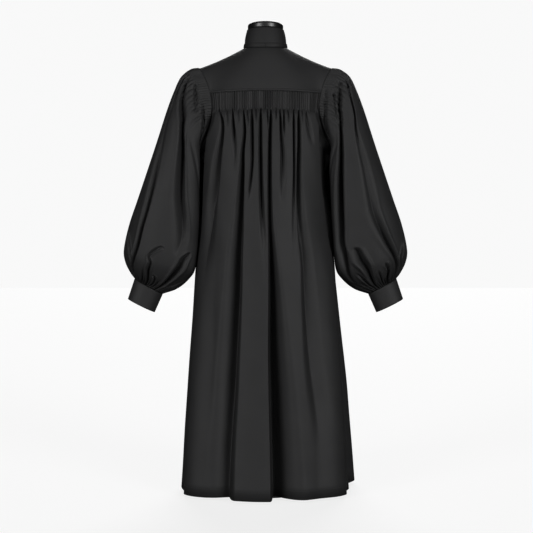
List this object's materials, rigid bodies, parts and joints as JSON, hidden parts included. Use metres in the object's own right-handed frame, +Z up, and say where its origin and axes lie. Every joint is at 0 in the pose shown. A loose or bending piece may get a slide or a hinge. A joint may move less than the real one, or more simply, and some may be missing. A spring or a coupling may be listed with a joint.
{
  "type": "choir robe on a dress form",
  "caption": "Long black robe with a flat yoke, stitched flutes and gathered bishop sleeves, worn open at hem, cuffs and neck by a limbless form on a round-footed stand.",
  "frame": {"origin": "on the floor, at the middle of the stand's round foot", "axes": "+Z up, the wearer faces -Y, and +X is the wearer's left"},
  "size_m": [0.8496, 0.445, 1.398],
  "materials": {
    "robe_cloth": "matte black woven polyester",
    "form_cover": "black jersey cover",
    "neck_cap": "gloss black",
    "stand_metal": "satin black paint"
  },
  "bodies": {
    "root": {"back_panel": "robe_cloth", "back_yoke": "robe_cloth", "front_panel_left": "robe_cloth", "front_panel_right": "robe_cloth", "front_yoke_left": "robe_cloth", "front_yoke_right": "robe_cloth", "front_fly": "robe_cloth", "neck_band_left": "robe_cloth", "neck_band_right": "robe_cloth", "sleeve_left": "robe_cloth", "sleeve_right": "robe_cloth", "cuff_left": "robe_cloth", "cuff_right": "robe_cloth", "form_torso": "form_cover", "neck_cap": "neck_cap", "pole": "stand_metal", "base": "stand_metal"}
  },
  "joints": []
}
